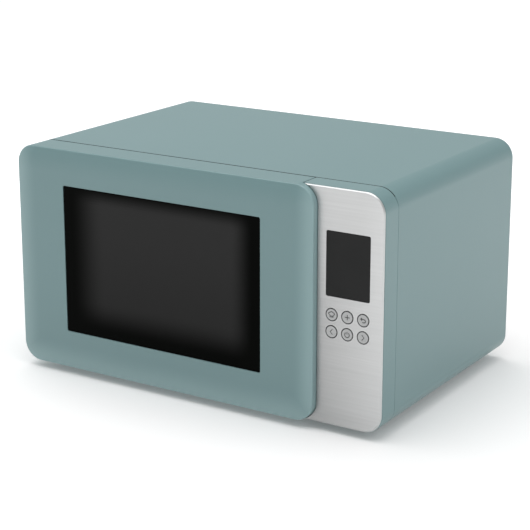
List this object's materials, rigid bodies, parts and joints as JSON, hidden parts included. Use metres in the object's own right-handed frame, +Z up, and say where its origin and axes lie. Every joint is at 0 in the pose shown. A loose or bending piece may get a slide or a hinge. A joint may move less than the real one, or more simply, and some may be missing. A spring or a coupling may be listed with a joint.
{
  "type": "countertop microwave oven",
  "caption": "Countertop microwave oven in satin sage-blue with a rounded body, left-hinged window door, brushed-steel control strip with display and round push buttons, and a glass turntable.",
  "frame": {"origin": "centre of the footprint on the worktop, under the feet", "axes": "+Z up, front (door and controls) towards -Y, +X to the right seen from the front"},
  "size_m": [0.489, 0.337, 0.277],
  "materials": {
    "casing_paint": "satin sage-blue enamel paint",
    "door_paint": "satin sage-blue paint on moulding",
    "fascia_steel": "horizontally brushed",
    "button_steel": "brushed cap with grey symbol",
    "bare_steel": "zinc-plated sheet",
    "hinge_steel": "plain turned and pressed steel",
    "cavity_enamel": "light grey enamel",
    "window_glass": "smoked glass, glossy",
    "screen_metal": "perforated, dark",
    "black_plastic": "fine grain",
    "grey_plastic": "fine grain",
    "white_plastic": "smooth",
    "clear_panel": "clear sheet over dark screen",
    "turntable_glass": "clear pressed glass",
    "foot_rubber": "matt",
    "mica": "layered mica sheet",
    "copper_wire": "varnished copper winding",
    "laminated_iron": "varnished laminations",
    "aluminium": "plain",
    "circuit_board": "solder-masked board"
  },
  "bodies": {
    "oven": {"cabinet_wrap": "casing_paint", "base_plate": "bare_steel", "rear_panel": "bare_steel", "cord_gland": "black_plastic", "foot_front_left": "foot_rubber", "foot_front_right": "foot_rubber", "foot_rear_left": "foot_rubber", "foot_rear_right": "foot_rubber", "front_frame": "cavity_enamel", "cavity": "cavity_enamel", "lower_hinge": "hinge_steel", "upper_hinge": "hinge_steel", "waveguide": "bare_steel", "waveguide_cover": "mica", "magnetron_yoke": "bare_steel", "magnetron_fins": "aluminium", "magnetron_tube": "hinge_steel", "magnetron_filter_box": "bare_steel", "cavity_lamp": "white_plastic", "magnetron_cutout": "black_plastic", "cavity_cutout": "black_plastic", "transformer_core": "laminated_iron", "primary_coil": "copper_wire", "secondary_coil": "copper_wire", "capacitor": "aluminium", "capacitor_clamp": "bare_steel", "diode": "black_plastic", "fan_shroud": "grey_plastic", "fan_motor": "laminated_iron", "filter_board": "circuit_board", "latch_board": "white_plastic", "primary_switch": "black_plastic", "secondary_switch": "black_plastic", "monitor_switch": "black_plastic", "panel_housing": "door_paint", "steel_fascia": "fascia_steel", "display_glass": "window_glass", "display_module": "black_plastic", "control_board": "circuit_board", "turntable_motor": "bare_steel"},
    "door": {"door_frame": "door_paint", "door_glass": "window_glass", "door_choke_frame": "bare_steel", "door_screen": "screen_metal", "choke_cover": "black_plastic", "door_inner_panel": "clear_panel"},
    "latch": {"latch_plate": "white_plastic"},
    "turntable": {"turntable_plate": "turntable_glass", "drive_coupler": "white_plastic"},
    "roller_ring": {"roller_ring": "white_plastic"},
    "fan": {"fan_blade": "white_plastic"},
    "roller_wheel_1": {"roller_wheel_1": "grey_plastic"},
    "roller_wheel_2": {"roller_wheel_2": "grey_plastic"},
    "roller_wheel_3": {"roller_wheel_3": "grey_plastic"},
    "button_menu": {"button_menu": "button_steel"},
    "button_plus": {"button_plus": "button_steel"},
    "button_return": {"button_return": "button_steel"},
    "button_left": {"button_left": "button_steel"},
    "button_start": {"button_start": "button_steel"},
    "button_right": {"button_right": "button_steel"}
  },
  "joints": [
    {"name": "door_hinge", "type": "hinge", "parent": "oven", "child": "door", "pos_m": [-0.2385, -0.1405, 0.143], "axis": [0, 0, -1], "range_deg": [0, 110]},
    {"name": "latch_slide", "type": "slide", "parent": "door", "child": "latch", "axis": [0, 0, 1], "range_m": [0, 0.004], "stiffness_N_per_m": 250},
    {"name": "turntable_spin", "type": "hinge", "parent": "oven", "child": "turntable", "pos_m": [-0.03805, 0.0074, 0.0562], "axis": [0, 0, 1], "continuous": true},
    {"name": "roller_ring_spin", "type": "hinge", "parent": "oven", "child": "roller_ring", "pos_m": [-0.03805, 0.0074, 0.0496], "axis": [0, 0, 1], "continuous": true},
    {"name": "fan_spin", "type": "hinge", "parent": "oven", "child": "fan", "pos_m": [0.184, 0.15, 0.177], "axis": [0, 1, 0], "continuous": true},
    {"name": "roller_wheel_1_spin", "type": "hinge", "parent": "roller_ring", "child": "roller_wheel_1", "pos_m": [-0.03805, 0.0984, 0.0496], "axis": [0, 1, 0], "continuous": true},
    {"name": "roller_wheel_2_spin", "type": "hinge", "parent": "roller_ring", "child": "roller_wheel_2", "pos_m": [-0.11686, -0.0381, 0.0496], "axis": [-0.866, -0.5, 0], "continuous": true},
    {"name": "roller_wheel_3_spin", "type": "hinge", "parent": "roller_ring", "child": "roller_wheel_3", "pos_m": [0.04076, -0.0381, 0.0496], "axis": [0.866, -0.5, 0], "continuous": true},
    {"name": "button_menu_press", "type": "slide", "parent": "oven", "child": "button_menu", "axis": [0, 1, 0], "range_m": [0, 0.0008], "stiffness_N_per_m": 400},
    {"name": "button_plus_press", "type": "slide", "parent": "oven", "child": "button_plus", "axis": [0, 1, 0], "range_m": [0, 0.0008], "stiffness_N_per_m": 400},
    {"name": "button_return_press", "type": "slide", "parent": "oven", "child": "button_return", "axis": [0, 1, 0], "range_m": [0, 0.0008], "stiffness_N_per_m": 400},
    {"name": "button_left_press", "type": "slide", "parent": "oven", "child": "button_left", "axis": [0, 1, 0], "range_m": [0, 0.0008], "stiffness_N_per_m": 400},
    {"name": "button_start_press", "type": "slide", "parent": "oven", "child": "button_start", "axis": [0, 1, 0], "range_m": [0, 0.0008], "stiffness_N_per_m": 400},
    {"name": "button_right_press", "type": "slide", "parent": "oven", "child": "button_right", "axis": [0, 1, 0], "range_m": [0, 0.0008], "stiffness_N_per_m": 400}
  ],
  "couplings": [
    {"joint": "roller_ring_spin", "follows": "turntable_spin", "ratio": 0.5},
    {"joint": "roller_wheel_1_spin", "follows": "turntable_spin", "ratio": -7},
    {"joint": "roller_wheel_2_spin", "follows": "turntable_spin", "ratio": -7},
    {"joint": "roller_wheel_3_spin", "follows": "turntable_spin", "ratio": -7}
  ]
}
